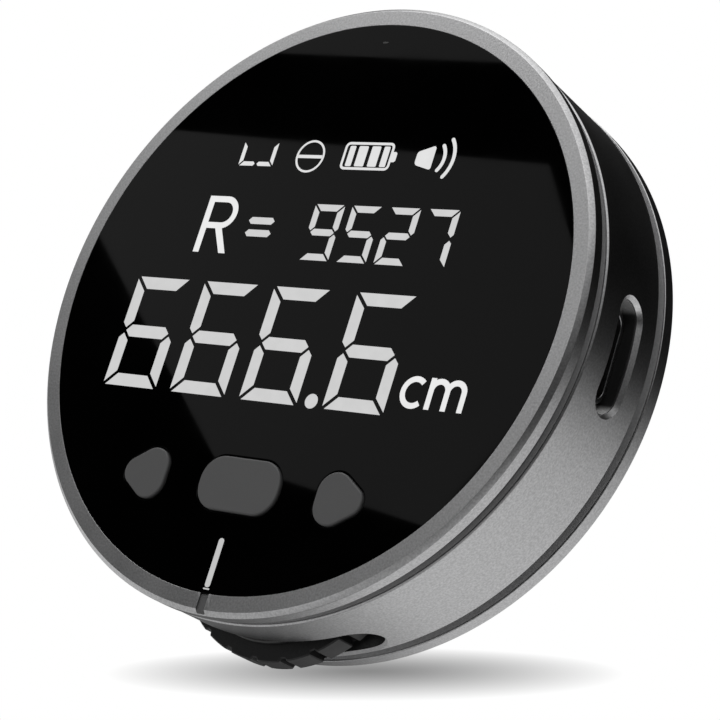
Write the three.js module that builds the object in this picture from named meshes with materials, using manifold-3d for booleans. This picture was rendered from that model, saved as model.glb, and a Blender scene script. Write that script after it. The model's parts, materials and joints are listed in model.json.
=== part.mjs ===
// A pocket electronic measuring wheel: a round metal case with a glass front, three buttons, a USB-C socket
// at three o'clock and a small rubber-tyred wheel that rolls along the measured surface at six o'clock.
//
// Millimetres. Pieces are placed in the case's own frame: the origin is the centre of the glass's front face,
// +X is to the right of the display, +Y goes into the case and +Z is up the display. The exported group then
// stands the case upright on its wheel, with the origin under the middle of the case.
import * as THREE from "three";
import { mergeVertices } from "three/addons/utils/BufferGeometryUtils.js";
import Module from "manifold-3d";

const wasm = await Module();
wasm.setup();

// Case, from the front to the back.
const RIM_RADIUS = 31;
const BODY_RADIUS = 30.9;
const GROOVE_RADIUS = 30.1;
const GLASS_RADIUS = 28.9;
const GLASS_THICKNESS = 1.1;
const BEZEL_BORE = 29.05;
const BEZEL_LEDGE = { radius: 27.6, y: 1.5 };
const BEZEL_CHAMFER = 0.45;
const BEZEL_WALL_END = 1.7;
const BODY_FRONT = 3;
const BODY_BACK = 13;
const BODY_BORE = 29.3;
const BODY_CHAMFER = 0.25;
const COVER_RIM_FRONT = 14.1;
const COVER_RIM_BACK = 15.6;
const COVER_INNER_FACE = 14.7;
const CASE_BACK = 16.2;
const INDEX_NOTCH = { width: 1, depth: 0.35 };

// Running and assembly gaps.
const GAP = 0.15;
const SEAT = 0.1;

// Wheel.
const WHEEL_Z = -19.7;
const TYRE_RADIUS = 12.95;
const TYRE_ROOT = 12.4;
const TYRE_BORE = 11.05;
const TYRE_FRONT = 9.4;
const TYRE_BACK = 11.9;
const TREAD_BLOCKS = 24;
const TREAD_GROOVE = 0.8;
const FLANGE_RADIUS = 11.3;
const HUB_FRONT = 8.7;
const HUB_BACK = 12.2;
const HUB_RADIUS = 10.9;
const AXLE_RADIUS = 1;
const BUSH_RADIUS = 2;
const ENCODER = { radius: 9.2, bore: 2.4, slotInner: 7.2, slotOuter: 8.7, slots: 24, front: 8.3, back: 8.55 };

// Openings in the case wall, as rounded slots: length round the case and width from front to back.
const WHEEL_SLOT = { length: 25.2, width: 4.5, y: 10.35 };
const PORT_SLOT = { length: 10, width: 3.7, y: 8.28, flare: 0.55 };

// Buttons.
const BUTTON_Z = -18.65;
const BUTTON_PROUD = 0.2;
const BUTTON_TRAVEL = 0.4;
const BUTTON_FLANGE = { front: 1.3, back: 2, margin: 0.6 };
const BUTTON_STEM = { radius: 1.2, back: 2.6 };
const MIDDLE_BUTTON = { width: 9.5, height: 5.25, corner: 2.4 };
const SIDE_BUTTON = { x: 11, shoulderRise: 0.63, shoulderRadius: 1.9, tipReach: 1.9, tipRadius: 1.4 };

// Board and the parts on it.
const BOARD = { radius: 27.5, front: 5.2, back: 6.2 };
const SWITCH = { size: 4.2, front: 3.9, bore: 1.1, floor: 5 };
const PLUNGER = { radius: 0.9, front: 2.75, back: 4.35 };
const LCD = { halfWidth: 22, bottom: -12.5, top: 18.2, corner: 3, front: 1.6, back: 2.8 };
const BACKLIGHT = { inset: 0.5, front: 3, back: 4.2 };
const LCD_FRAME = { clearance: 0.2, wall: 0.7, back: 4.5 };
const LCD_FLEX = { width: 14, thickness: 0.2, reach: 14.3, tail: 12 };
const FRAME_RING = { inner: 27.9, outer: 29, front: 3.1, back: 12.9 };
const BOSS = { orbit: 26.2, radius: 2.1, front: 6.4, bore: 0.85 };
const BATTERY = { halfWidth: 13, bottom: 2, top: 24, corner: 2, front: 7.4, back: 12.6 };
const BUZZER = { x: -19, z: 5, radius: 4.5, back: 9.2 };
const PORT = { length: 8.94, width: 3.26, wall: 0.35, inner: 21.9, outer: 29.2 };
const BRACKET = { halfWidth: 4.5, cheek: 1, front: 7, back: 13.7, foot: 6.3, top: -0.5, drop: 4 };
const BRACKET_BRIDGE = { top: -5, bottom: -6.2 };

// Fasteners.
const BOARD_SCREW = { shank: 0.6, head: 1.3, headFront: 4.6, end: 9 };
const COVER_SCREW = { shank: 0.6, head: 1.7, headFront: 15.35, end: 10.6 };
const BRACKET_SCREW = { shank: 0.6, head: 1.2, x: 3, z: -2.8, headBack: 8.9, end: 5.4 };
const SCREW_HOLE = 0.85;
const COUNTERBORE = { radius: 1.9, floor: 15.25 };

// Smoothness of round shapes.
const CASE_STEPS = 72;
const WHEEL_STEPS = 48;
const SMALL_STEPS = 16;

const finish = {
  metal: [0x8a8a8c, 0.42, 0.9],
  glass: [0x050506, 0.05, 0],
  rubber: [0x151515, 0.75, 0],
  button: [0x4a4a4a, 0.5, 0],
  plastic: [0x2a2a2c, 0.6, 0],
  board: [0x14502c, 0.5, 0.1],
  steel: [0xb8b8ba, 0.3, 1],
  brass: [0xc8a050, 0.35, 1],
  light: [0xe6e6e0, 0.4, 0],
  foil: [0x9fa6ad, 0.5, 0.4],
  flex: [0xa8641c, 0.5, 0],
};

const instrument = new THREE.Group();

function add(name, geometry, look, x = 0, z = 0) {
  const [color, roughness, metalness] = finish[look];
  const mesh = new THREE.Mesh(geometry, new THREE.MeshStandardMaterial({ color, roughness, metalness }));
  mesh.name = name;
  mesh.position.set(x, 0, z);
  instrument.add(mesh);
}

// --- Shape helpers -------------------------------------------------------------------------------------------

// A solid of revolution about Y. The outline is a list of [radius, y], anticlockwise with the radius to the right.
function turned(outline, steps = SMALL_STEPS) {
  const points = outline.map(([radius, y]) => new THREE.Vector2(radius, y));
  if (outline[0][0] > 0) points.push(points[0].clone());
  return new THREE.LatheGeometry(points, steps);
}

function disc(radius, front, back, steps = SMALL_STEPS) {
  return turned([[0, front], [radius, front], [radius, back], [0, back]], steps);
}

function washer(inner, outer, front, back, steps = SMALL_STEPS) {
  return turned([[inner, front], [outer, front], [outer, back], [inner, back]], steps);
}

// An outline drawn as seen from the front, given thickness from one depth to another.
function plate(shape, front, back, curveSegments = 4) {
  const geometry = new THREE.ExtrudeGeometry(shape, { depth: back - front, bevelEnabled: false, curveSegments });
  return geometry.rotateX(Math.PI / 2).translate(0, back, 0);
}

function block(width, front, back, bottom, top) {
  return new THREE.BoxGeometry(width, back - front, top - bottom)
    .translate(0, (front + back) / 2, (bottom + top) / 2);
}

function circleShape(radius, x = 0, z = 0, PathClass = THREE.Shape) {
  return new PathClass().absarc(x, z, radius, 0, 2 * Math.PI, false);
}

function polygon(points) {
  return new THREE.Shape(points.map(([a, b]) => new THREE.Vector2(a, b)));
}

// The outline of a taut band round circles given anticlockwise as { x, z, r }.
function bandRound(circles, grow = 0) {
  const path = new THREE.Shape();
  const leave = circles.map((a, i) => {
    const b = circles[(i + 1) % circles.length];
    const towards = Math.atan2(b.z - a.z, b.x - a.x);
    return towards - Math.acos((a.r - b.r) / Math.hypot(b.x - a.x, b.z - a.z));
  });
  circles.forEach((c, i) => {
    const arrive = leave[(i + circles.length - 1) % circles.length];
    path.absarc(c.x, c.z, c.r + grow, arrive, leave[i], false);
  });
  return path.closePath();
}

function roundedRectangle(halfWidth, bottom, top, corner) {
  const x = halfWidth - corner;
  return bandRound([
    { x, z: top - corner, r: corner },
    { x: -x, z: top - corner, r: corner },
    { x: -x, z: bottom + corner, r: corner },
    { x, z: bottom + corner, r: corner },
  ]);
}

// A slot with round ends, long way up the drawing.
function slotShape(length, width) {
  const reach = (length - width) / 2;
  return bandRound([{ x: 0, z: reach, r: width / 2 }, { x: 0, z: -reach, r: width / 2 }]);
}

// Turns an extrusion drawn in X and Y so that it runs along +X, with the drawing's X along Y and its Y along Z.
function towardsRight(geometry) {
  return geometry.rotateX(Math.PI / 2).rotateZ(Math.PI / 2);
}

function toSolid(geometry) {
  const bare = geometry.clone();
  bare.deleteAttribute("normal");
  bare.deleteAttribute("uv");
  const merged = mergeVertices(bare, 1e-4);
  return new wasm.Manifold(new wasm.Mesh({
    numProp: 3,
    vertProperties: merged.attributes.position.array,
    triVerts: new Uint32Array(merged.index.array),
  }));
}

function toGeometry(solid) {
  const mesh = solid.getMesh();
  return new THREE.BufferGeometry()
    .setAttribute("position", new THREE.BufferAttribute(mesh.vertProperties, 3))
    .setIndex(new THREE.BufferAttribute(mesh.triVerts, 1));
}

function join(first, ...others) {
  return toGeometry(others.reduce((whole, other) => whole.add(toSolid(other)), toSolid(first)));
}

function cut(body, ...tools) {
  return toGeometry(tools.reduce((left, tool) => left.subtract(toSolid(tool)), toSolid(body)));
}

// Four places on the diagonals of the case, at the given distance from its centre.
function onDiagonals(orbit) {
  return [45, 135, 225, 315].map((degrees) => {
    const angle = THREE.MathUtils.degToRad(degrees);
    return [orbit * Math.cos(angle), orbit * Math.sin(angle)];
  });
}

// --- Case ----------------------------------------------------------------------------------------------------

function bezelRing() {
  const ring = turned([
    [BEZEL_BORE, 0],
    [RIM_RADIUS - BEZEL_CHAMFER, 0],
    [RIM_RADIUS, BEZEL_CHAMFER],
    [RIM_RADIUS, BEZEL_WALL_END],
    [GROOVE_RADIUS, BEZEL_WALL_END],
    [GROOVE_RADIUS, BODY_FRONT - SEAT],
    [BEZEL_LEDGE.radius, BODY_FRONT - SEAT],
    [BEZEL_LEDGE.radius, BEZEL_LEDGE.y],
    [BEZEL_BORE, BEZEL_LEDGE.y],
  ], CASE_STEPS);
  const notch = block(INDEX_NOTCH.width, -1, INDEX_NOTCH.depth, -RIM_RADIUS - 1, -GLASS_RADIUS);
  return cut(ring, notch);
}

// The tool for the port's opening: straight through the wall, then flaring out to the case's surface.
function portTool() {
  const opening = slotShape(PORT_SLOT.length, PORT_SLOT.width);
  const { flare, y } = PORT_SLOT;
  const straight = new THREE.ExtrudeGeometry(opening, { depth: 6, bevelEnabled: false, curveSegments: 8 })
    .translate(0, 0, BODY_BORE - 3);
  const mouth = new THREE.ExtrudeGeometry(opening, {
    depth: 3, bevelThickness: flare, bevelSize: flare, bevelSegments: 1, curveSegments: 8,
  }).translate(0, 0, BODY_RADIUS - flare);
  return towardsRight(join(straight, mouth)).translate(0, y, 0);
}

// The tool for the wheel's opening, seen from below the case.
function wheelTool(margin = 0) {
  const opening = slotShape(WHEEL_SLOT.length + 2 * margin, WHEEL_SLOT.width + 2 * margin);
  return new THREE.ExtrudeGeometry(opening, { depth: 12, bevelEnabled: false, curveSegments: 8 })
    .rotateZ(Math.PI / 2).translate(0, WHEEL_SLOT.y, -RIM_RADIUS - 3);
}

function bodyRing() {
  const ring = turned([
    [BODY_BORE, BODY_FRONT],
    [BODY_RADIUS - BODY_CHAMFER, BODY_FRONT],
    [BODY_RADIUS, BODY_FRONT + BODY_CHAMFER],
    [BODY_RADIUS, BODY_BACK - BODY_CHAMFER],
    [BODY_RADIUS - BODY_CHAMFER, BODY_BACK],
    [BODY_BORE, BODY_BACK],
  ], CASE_STEPS);
  return cut(ring, portTool(), wheelTool());
}

function innerFrame() {
  const ring = washer(FRAME_RING.inner, FRAME_RING.outer, FRAME_RING.front, FRAME_RING.back, CASE_STEPS);
  const posts = onDiagonals(BOSS.orbit)
    .map(([x, z]) => disc(BOSS.radius, BOSS.front, FRAME_RING.back).translate(x, 0, z));
  const bores = onDiagonals(BOSS.orbit)
    .map(([x, z]) => disc(BOSS.bore, 0, CASE_BACK, 10).translate(x, 0, z));
  return cut(join(ring, ...posts), ...bores, portTool(), wheelTool(1));
}

function backCover() {
  const neck = BEZEL_LEDGE.radius + 1;
  const cover = turned([
    [0, COVER_INNER_FACE],
    [neck, COVER_INNER_FACE],
    [neck, BODY_BACK + SEAT],
    [GROOVE_RADIUS, BODY_BACK + SEAT],
    [GROOVE_RADIUS, COVER_RIM_FRONT],
    [RIM_RADIUS, COVER_RIM_FRONT],
    [RIM_RADIUS, COVER_RIM_BACK],
    [RIM_RADIUS - (CASE_BACK - COVER_RIM_BACK), CASE_BACK],
    [0, CASE_BACK],
  ], CASE_STEPS);
  const screwHoles = onDiagonals(BOSS.orbit).flatMap(([x, z]) => [
    disc(SCREW_HOLE, 0, CASE_BACK + 1, 12).translate(x, 0, z),
    disc(COUNTERBORE.radius, COUNTERBORE.floor, CASE_BACK + 1).translate(x, 0, z),
  ]);
  const soundHoles = [0, 1, 2, 3, 4, 5, 6].map((i) => {
    const orbit = i === 0 ? 0 : 1.8;
    const angle = (i * Math.PI) / 3;
    return disc(0.45, 0, CASE_BACK + 1, 8)
      .translate(BUZZER.x + orbit * Math.cos(angle), 0, BUZZER.z + orbit * Math.sin(angle));
  });
  return cut(cover, ...screwHoles, ...soundHoles);
}

// --- Buttons and glass ---------------------------------------------------------------------------------------

// side is -1 for the button that points left and 1 for the one that points right.
function sideButtonCircles(side) {
  const { x, shoulderRise, shoulderRadius, tipReach, tipRadius } = SIDE_BUTTON;
  const circles = [
    { x: side * x, z: BUTTON_Z + side * shoulderRise, r: shoulderRadius },
    { x: side * x, z: BUTTON_Z - side * shoulderRise, r: shoulderRadius },
    { x: side * (x + tipReach), z: BUTTON_Z, r: tipRadius },
  ];
  return circles;
}

function middleButtonCircles() {
  const { width, height, corner } = MIDDLE_BUTTON;
  const x = width / 2 - corner;
  const z = height / 2 - corner;
  return [[x, z], [-x, z], [-x, -z], [x, -z]].map(([cx, cz]) => ({ x: cx, z: BUTTON_Z + cz, r: corner }));
}

const buttons = [
  { side: "left", x: -(SIDE_BUTTON.x + 0.6), circles: sideButtonCircles(-1) },
  { side: "middle", x: 0, circles: middleButtonCircles() },
  { side: "right", x: SIDE_BUTTON.x + 0.6, circles: sideButtonCircles(1) },
];

function buttonCap({ circles, x }) {
  return join(
    plate(bandRound(circles), -BUTTON_PROUD, BUTTON_FLANGE.front),
    plate(bandRound(circles, BUTTON_FLANGE.margin), BUTTON_FLANGE.front, BUTTON_FLANGE.back),
    disc(BUTTON_STEM.radius, BUTTON_FLANGE.back - 0.1, BUTTON_STEM.back).translate(x, 0, BUTTON_Z),
  );
}

function frontGlass() {
  const holes = buttons.map(({ circles }) => plate(bandRound(circles, GAP), -1, GLASS_THICKNESS + 1));
  return cut(disc(GLASS_RADIUS, 0, GLASS_THICKNESS, CASE_STEPS), ...holes);
}

// --- Display and board ---------------------------------------------------------------------------------------

// The display's outline: a rectangle whose upper corners are cut off to fit in the round case.
function displayOutline(grow) {
  const x = LCD.halfWidth + grow;
  const top = LCD.top + grow;
  const bottom = LCD.bottom - grow;
  return [[-x, bottom], [x, bottom], [x, top - LCD.corner], [x - LCD.corner, top],
    [LCD.corner - x, top], [-x, top - LCD.corner]];
}

function displayFrame() {
  const inner = LCD_FRAME.clearance - BACKLIGHT.inset;
  const shape = polygon(displayOutline(inner + LCD_FRAME.wall));
  shape.holes.push(polygon(displayOutline(inner)));
  return plate(shape, BACKLIGHT.front, LCD_FRAME.back);
}

// The display's ribbon, seen from the side: out of the panel's lower edge, back to the board and up along it.
function displayFlex() {
  const { width, thickness, reach, tail } = LCD_FLEX;
  const start = (LCD.front + LCD.back) / 2;
  const end = BOARD.front - SEAT;
  const lip = LCD.bottom - GAP;
  const profile = polygon([
    [start, lip], [start, -reach], [end, -reach], [end, -tail], [end - thickness, -tail],
    [end - thickness, thickness - reach], [start + thickness, thickness - reach], [start + thickness, lip],
  ]);
  return sideways(profile, width);
}

// A profile drawn as [y, z], given a width along X about the middle of the case.
function sideways(profile, width) {
  const geometry = new THREE.ExtrudeGeometry(profile, { depth: width, bevelEnabled: false });
  return towardsRight(geometry).translate(-width / 2, 0, 0);
}

const boardScrewPlaces = onDiagonals(BOSS.orbit).slice(0, 3);
const bracketScrewPlaces = [-1, 1].map((side) => [side * BRACKET_SCREW.x, BRACKET_SCREW.z]);

function mainBoard() {
  const face = circleShape(BOARD.radius);
  [...boardScrewPlaces, ...bracketScrewPlaces].forEach(([x, z]) => {
    face.holes.push(circleShape(SCREW_HOLE, x, z, THREE.Path));
  });
  return plate(face, BOARD.front, BOARD.back, 12);
}

function tactSwitch() {
  const half = SWITCH.size / 2;
  return cut(
    block(SWITCH.size, SWITCH.front, BOARD.front - SEAT, -half, half),
    disc(SWITCH.bore, 0, SWITCH.floor),
  );
}

function portShell() {
  const outer = slotShape(PORT.length, PORT.width);
  outer.holes.push(slotShape(PORT.length - 2 * PORT.wall, PORT.width - 2 * PORT.wall));
  const depth = PORT.outer - PORT.inner;
  const shell = new THREE.ExtrudeGeometry(outer, { depth, bevelEnabled: false, curveSegments: 8 });
  return towardsRight(shell).translate(PORT.inner, PORT_SLOT.y, 0);
}

function portTongue() {
  const base = new THREE.BoxGeometry(1.4, 2.1, 5.6).translate(PORT.inner + 0.9, PORT_SLOT.y, 0);
  const tongue = new THREE.BoxGeometry(5.4, 0.7, 5.4).translate(PORT.inner + 3.9, PORT_SLOT.y, 0);
  return join(base, tongue);
}

function screw({ shank, head }, headFront, headBack, shankEnd) {
  return shankEnd < headFront
    ? turned([[0, shankEnd], [shank, shankEnd], [shank, headFront], [head, headFront], [head, headBack], [0, headBack]])
    : turned([[0, headFront], [head, headFront], [head, headBack], [shank, headBack], [shank, shankEnd], [0, shankEnd]]);
}

// --- Wheel ---------------------------------------------------------------------------------------------------

// The tread is a ring with straight grooves across it, one of them straight below the axle.
function tyre() {
  const pitch = (2 * Math.PI) / TREAD_BLOCKS;
  const half = TREAD_GROOVE / 2;
  const outline = [];
  for (let i = 0; i < TREAD_BLOCKS; i++) {
    const groove = -Math.PI / 2 + i * pitch;
    for (const [radius, offset] of [
      [TYRE_RADIUS, -half / TYRE_RADIUS],
      [TYRE_ROOT, -half / (2 * TYRE_ROOT)],
      [TYRE_ROOT, half / (2 * TYRE_ROOT)],
      [TYRE_RADIUS, half / TYRE_RADIUS],
      [TYRE_RADIUS, pitch / 2],
    ]) {
      outline.push([radius * Math.cos(groove + offset), radius * Math.sin(groove + offset)]);
    }
  }
  const shape = polygon(outline);
  shape.holes.push(circleShape(TYRE_BORE, 0, 0, THREE.Path));
  return plate(shape, TYRE_FRONT, TYRE_BACK, 12);
}

function wheelHub() {
  const bore = BUSH_RADIUS + GAP;
  const boss = BUSH_RADIUS + 1.6;
  const web = TYRE_FRONT + 0.8;
  const rimInner = HUB_RADIUS - 1.3;
  return turned([
    [bore, HUB_FRONT],
    [FLANGE_RADIUS, HUB_FRONT],
    [FLANGE_RADIUS, TYRE_FRONT - 2 * SEAT],
    [HUB_RADIUS, TYRE_FRONT - 2 * SEAT],
    [HUB_RADIUS, HUB_BACK],
    [rimInner, HUB_BACK],
    [rimInner, web],
    [boss, web],
    [boss, HUB_BACK],
    [bore, HUB_BACK],
  ], WHEEL_STEPS);
}

function encoderDisc() {
  const shape = circleShape(ENCODER.radius);
  shape.holes.push(circleShape(ENCODER.bore, 0, 0, THREE.Path));
  const pitch = (2 * Math.PI) / ENCODER.slots;
  for (let i = 0; i < ENCODER.slots; i++) {
    const corners = [
      [ENCODER.slotInner, 0], [ENCODER.slotOuter, 0], [ENCODER.slotOuter, pitch / 2], [ENCODER.slotInner, pitch / 2],
    ].map(([radius, turn]) => new THREE.Vector2(
      radius * Math.cos(i * pitch + turn),
      radius * Math.sin(i * pitch + turn),
    ));
    shape.holes.push(new THREE.Path(corners));
  }
  return plate(shape, ENCODER.front, ENCODER.back, 12);
}

// A fixed axle with a head behind the bracket and a groove for its clip in front of it.
function axle() {
  const clipFront = BRACKET.front - 0.45;
  const groove = AXLE_RADIUS - 0.35;
  const headFront = BRACKET.back + GAP;
  return turned([
    [0, clipFront - 0.15],
    [AXLE_RADIUS, clipFront - 0.15],
    [AXLE_RADIUS, clipFront],
    [groove, clipFront],
    [groove, clipFront + 0.3],
    [AXLE_RADIUS, clipFront + 0.3],
    [AXLE_RADIUS, headFront],
    [AXLE_RADIUS + 0.7, headFront],
    [AXLE_RADIUS + 0.7, headFront + 0.45],
    [0, headFront + 0.45],
  ]);
}

function axleClip() {
  const front = BRACKET.front - 0.4;
  const ring = washer(AXLE_RADIUS - 0.25, AXLE_RADIUS + 0.8, front, front + 0.2);
  return cut(ring, block(0.9, front - 1, front + 1, 0, 3));
}

// A U-shaped carrier over the wheel, with a foot that is screwed to the board.
function wheelBracket() {
  const { cheek, front, back, foot, top, drop, halfWidth } = BRACKET;
  const low = WHEEL_Z - drop;
  const { top: bridgeTop, bottom: bridgeBottom } = BRACKET_BRIDGE;
  const profile = polygon([
    [front, low], [front + cheek, low], [front + cheek, bridgeBottom], [back - cheek, bridgeBottom],
    [back - cheek, low], [back, low], [back, bridgeTop], [front + cheek, bridgeTop],
    [front + cheek, top], [foot, top], [foot, bridgeTop], [front, bridgeTop],
  ]);
  const axleBore = disc(AXLE_RADIUS + GAP, 0, CASE_BACK).translate(0, 0, WHEEL_Z);
  const screwBores = bracketScrewPlaces.map(([x, z]) => disc(SCREW_HOLE, 0, CASE_BACK, 10).translate(x, 0, z));
  return cut(sideways(profile, 2 * halfWidth), axleBore, ...screwBores);
}

// --- Assembly ------------------------------------------------------------------------------------------------

add("bezel_ring", bezelRing(), "metal");
add("body_ring", bodyRing(), "metal");
add("back_cover", backCover(), "metal");
add("inner_frame", innerFrame(), "plastic");
add("front_glass", frontGlass(), "glass");
add("glass_gasket", washer(BEZEL_LEDGE.radius + 0.2, GLASS_RADIUS - 0.1, 1.2, 1.4, CASE_STEPS / 2), "rubber");

for (const button of buttons) {
  add("button_" + button.side, buttonCap(button), "button");
  add("plunger_" + button.side, disc(PLUNGER.radius, PLUNGER.front, PLUNGER.back), "plastic", button.x, BUTTON_Z);
  add("tact_switch_" + button.side, tactSwitch(), "steel", button.x, BUTTON_Z);
}

add("lcd_panel", plate(polygon(displayOutline(0)), LCD.front, LCD.back), "glass");
add("backlight", plate(polygon(displayOutline(-BACKLIGHT.inset)), BACKLIGHT.front, BACKLIGHT.back), "light");
add("lcd_frame", displayFrame(), "plastic");
add("lcd_flex", displayFlex(), "flex");
add("main_board", mainBoard(), "board");
add("controller_chip", block(7, BOARD.back + SEAT, 7.1, 0, 7), "plastic", 6, 8);
add("charger_chip", block(3, BOARD.back + SEAT, 7.1, 0, 3), "plastic", 17, 6);
add("buzzer", disc(BUZZER.radius, BOARD.back + SEAT, BUZZER.back, 24), "plastic", BUZZER.x, BUZZER.z);
add("battery", plate(roundedRectangle(BATTERY.halfWidth, BATTERY.bottom, BATTERY.top, BATTERY.corner),
  BATTERY.front, BATTERY.back), "foil");
add("port_shell", portShell(), "steel");
add("port_tongue", portTongue(), "plastic");

add("tyre", tyre(), "rubber", 0, WHEEL_Z);
add("wheel_hub", wheelHub(), "plastic", 0, WHEEL_Z);
add("encoder_disc", encoderDisc(), "steel", 0, WHEEL_Z);
add("wheel_bush", washer(AXLE_RADIUS + GAP, BUSH_RADIUS, HUB_FRONT - SEAT, HUB_BACK + SEAT, 24), "brass", 0, WHEEL_Z);
add("axle", axle(), "steel", 0, WHEEL_Z);
add("axle_clip", axleClip(), "steel", 0, WHEEL_Z);
add("wheel_bracket", wheelBracket(), "plastic");
add("encoder_sensor", block(3, BOARD.back + SEAT, 7.8, -1.5, 1.5), "plastic", -7.1, WHEEL_Z + 4.1);

boardScrewPlaces.forEach(([x, z], i) => {
  const { headFront, end } = BOARD_SCREW;
  add("board_screw_" + (i + 1), screw(BOARD_SCREW, headFront, BOARD.front - SEAT, end), "steel", x, z);
});
bracketScrewPlaces.forEach(([x, z], i) => {
  const headFront = BRACKET.front + BRACKET.cheek + SEAT;
  const { headBack, end } = BRACKET_SCREW;
  add("bracket_screw_" + (i + 1), screw(BRACKET_SCREW, headFront, headBack, end), "steel", x, z);
});
onDiagonals(BOSS.orbit).forEach(([x, z], i) => {
  const { headFront, end } = COVER_SCREW;
  add("cover_screw_" + (i + 1), screw(COVER_SCREW, headFront, CASE_BACK - SEAT, end), "steel", x, z);
});

// Upright on the wheel, with the middle of the case's thickness over the origin.
instrument.position.set(0, -(CASE_BACK - BUTTON_PROUD) / 2, TYRE_RADIUS - WHEEL_Z);

const part = new THREE.Group();
part.add(instrument);
export default part;
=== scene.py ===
"""The looks of a pocket electronic measuring wheel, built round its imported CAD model.

Shapes are drawn in millimetres in the case's own frame: the origin is the centre of the glass's
front face, +X is to the right of the display, +Y goes into the case and +Z is up the display.
new_piece() moves them into the model's frame, in metres.
"""

import json
import math
from itertools import pairwise

import bmesh
import bpy
from mathutils import Matrix, Vector
from mathutils.geometry import delaunay_2d_cdt


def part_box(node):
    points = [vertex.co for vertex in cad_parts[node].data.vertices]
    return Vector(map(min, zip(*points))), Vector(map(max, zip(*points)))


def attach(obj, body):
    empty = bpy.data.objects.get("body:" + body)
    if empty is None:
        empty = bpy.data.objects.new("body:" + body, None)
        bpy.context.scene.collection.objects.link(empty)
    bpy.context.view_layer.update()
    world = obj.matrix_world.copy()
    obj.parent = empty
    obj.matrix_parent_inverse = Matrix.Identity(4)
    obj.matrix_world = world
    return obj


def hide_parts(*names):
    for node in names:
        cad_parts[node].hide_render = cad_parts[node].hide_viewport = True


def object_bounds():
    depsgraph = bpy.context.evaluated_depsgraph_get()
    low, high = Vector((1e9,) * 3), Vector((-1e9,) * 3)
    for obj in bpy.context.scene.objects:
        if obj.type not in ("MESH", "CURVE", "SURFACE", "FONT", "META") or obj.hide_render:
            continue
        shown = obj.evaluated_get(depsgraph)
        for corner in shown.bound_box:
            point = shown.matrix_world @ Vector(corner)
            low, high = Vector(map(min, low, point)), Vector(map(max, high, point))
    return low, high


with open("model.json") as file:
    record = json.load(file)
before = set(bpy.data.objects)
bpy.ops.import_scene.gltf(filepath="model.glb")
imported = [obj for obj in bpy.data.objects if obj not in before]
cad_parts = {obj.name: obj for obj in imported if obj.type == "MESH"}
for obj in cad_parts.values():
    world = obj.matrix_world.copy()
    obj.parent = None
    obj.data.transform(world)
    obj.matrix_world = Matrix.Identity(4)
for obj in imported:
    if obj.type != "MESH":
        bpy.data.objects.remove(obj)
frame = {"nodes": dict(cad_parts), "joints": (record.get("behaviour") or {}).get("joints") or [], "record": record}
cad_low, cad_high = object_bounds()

MM = 0.001

# --- Places and sizes, in millimetres -------------------------

glass_low, glass_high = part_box("front_glass")
glass_middle = (glass_low + glass_high) / 2
CASE_ORIGIN = Vector((glass_middle.x, glass_low.y, glass_middle.z)) / MM


def extent(node):
    """Lowest and highest corner of a CAD node, in millimetres in the case's frame."""
    low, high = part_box(node)
    return low / MM - CASE_ORIGIN, high / MM - CASE_ORIGIN


# Case rings, from the front to the back.
bezel_low, bezel_high = extent("bezel_ring")
body_low, body_high = extent("body_ring")
cover_low, cover_high = extent("back_cover")
RIM_RADIUS = bezel_high.x
BEZEL_BORE = 29.05
BEZEL_LEDGE = 27.6
BEZEL_LEDGE_DEPTH = 1.5
BEZEL_CHAMFER = 0.45
BEZEL_WALL_END = 1.7
GROOVE_RADIUS = 30.1
BODY_RADIUS = body_high.x
BODY_BORE = 29.3
BODY_CHAMFER = 0.13
COVER_RIM = (14.1, 15.6)
COVER_INNER_FACE = 14.7
CASE_BACK = cover_high.y
GLASS_RADIUS = (glass_high.x - glass_low.x) / 2 / MM
GLASS_THICKNESS = (glass_high.y - glass_low.y) / MM
INDEX_NOTCH = {"width": 1.0, "depth": 0.35}
HAIRLINE = {"width": 0.09, "depth": 0.14}

# Fasteners and sound holes in the back cover.
SCREW_ORBIT = 26.2
COUNTERBORE = {"radius": 1.9, "floor": 15.25, "hole": 0.85}
SCREW_HEAD = {"radius": 1.7, "front": 15.35}
SCREW_CROSS = {"half_length": 0.95, "half_width": 0.17, "depth": 0.5, "floor_share": 0.7}
SCREW_SHANK = {"radius": 0.6, "end": 10.6}
buzzer_low, buzzer_high = extent("buzzer")
SOUND_HOLES = {"radius": 0.45, "orbit": 1.8, "count": 6}

# Openings in the body ring, and the socket in the port.
port_low, port_high = extent("port_shell")
PORT_Y = (port_low.y + port_high.y) / 2
PORT_SLOT = {"half_length": 5.4, "half_width": 1.75, "flare": 0.4}
PORT_SHELL = {"half_length": (port_high.z - port_low.z) / 2, "half_width": (port_high.y - port_low.y) / 2}
PORT_SHELL_WALL = 0.5
PORT_LINER = {"back": 27.9, "seat": 28.7, "wall": 0.1, "hair": 0.01}
PORT_TONGUE = {"root": 1.4, "half_blade": 0.35}
PORT_CONTACTS = {"count": 12, "pitch": 0.42, "half_width": 0.12, "sunk": 0.33, "proud": 0.38}
PORT_CONTACT_ENDS = {"start": 2.6, "taper": 0.5, "end": 0.3, "half_width": 0.05}
WHEEL_SLOT = {"half_length": 12.72, "half_width": 2.25, "flare": 0.3}
WHEEL_SLOT_Y = 10.35

# Wheel.
wheel_joint = next(joint for joint in frame["joints"] if joint["name"] == "wheel_spin")
WHEEL_CENTRE = Vector(wheel_joint["pos_m"]) / MM - CASE_ORIGIN
TYRE_RADIUS = wheel_joint["pos_m"][2] / MM
TREAD_BLOCKS = 24
TREAD_GROOVE = 0.75
TREAD_DEPTHS = {"end": 0.3, "middle": 0.9}
TYRE_BORE = 11.05
HUB = {"flange": 0.5, "lip": 0.4, "rim_wall": 1.3, "boss_wall": 1.45, "web": 0.8, "bush_gap": 0.15}

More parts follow.
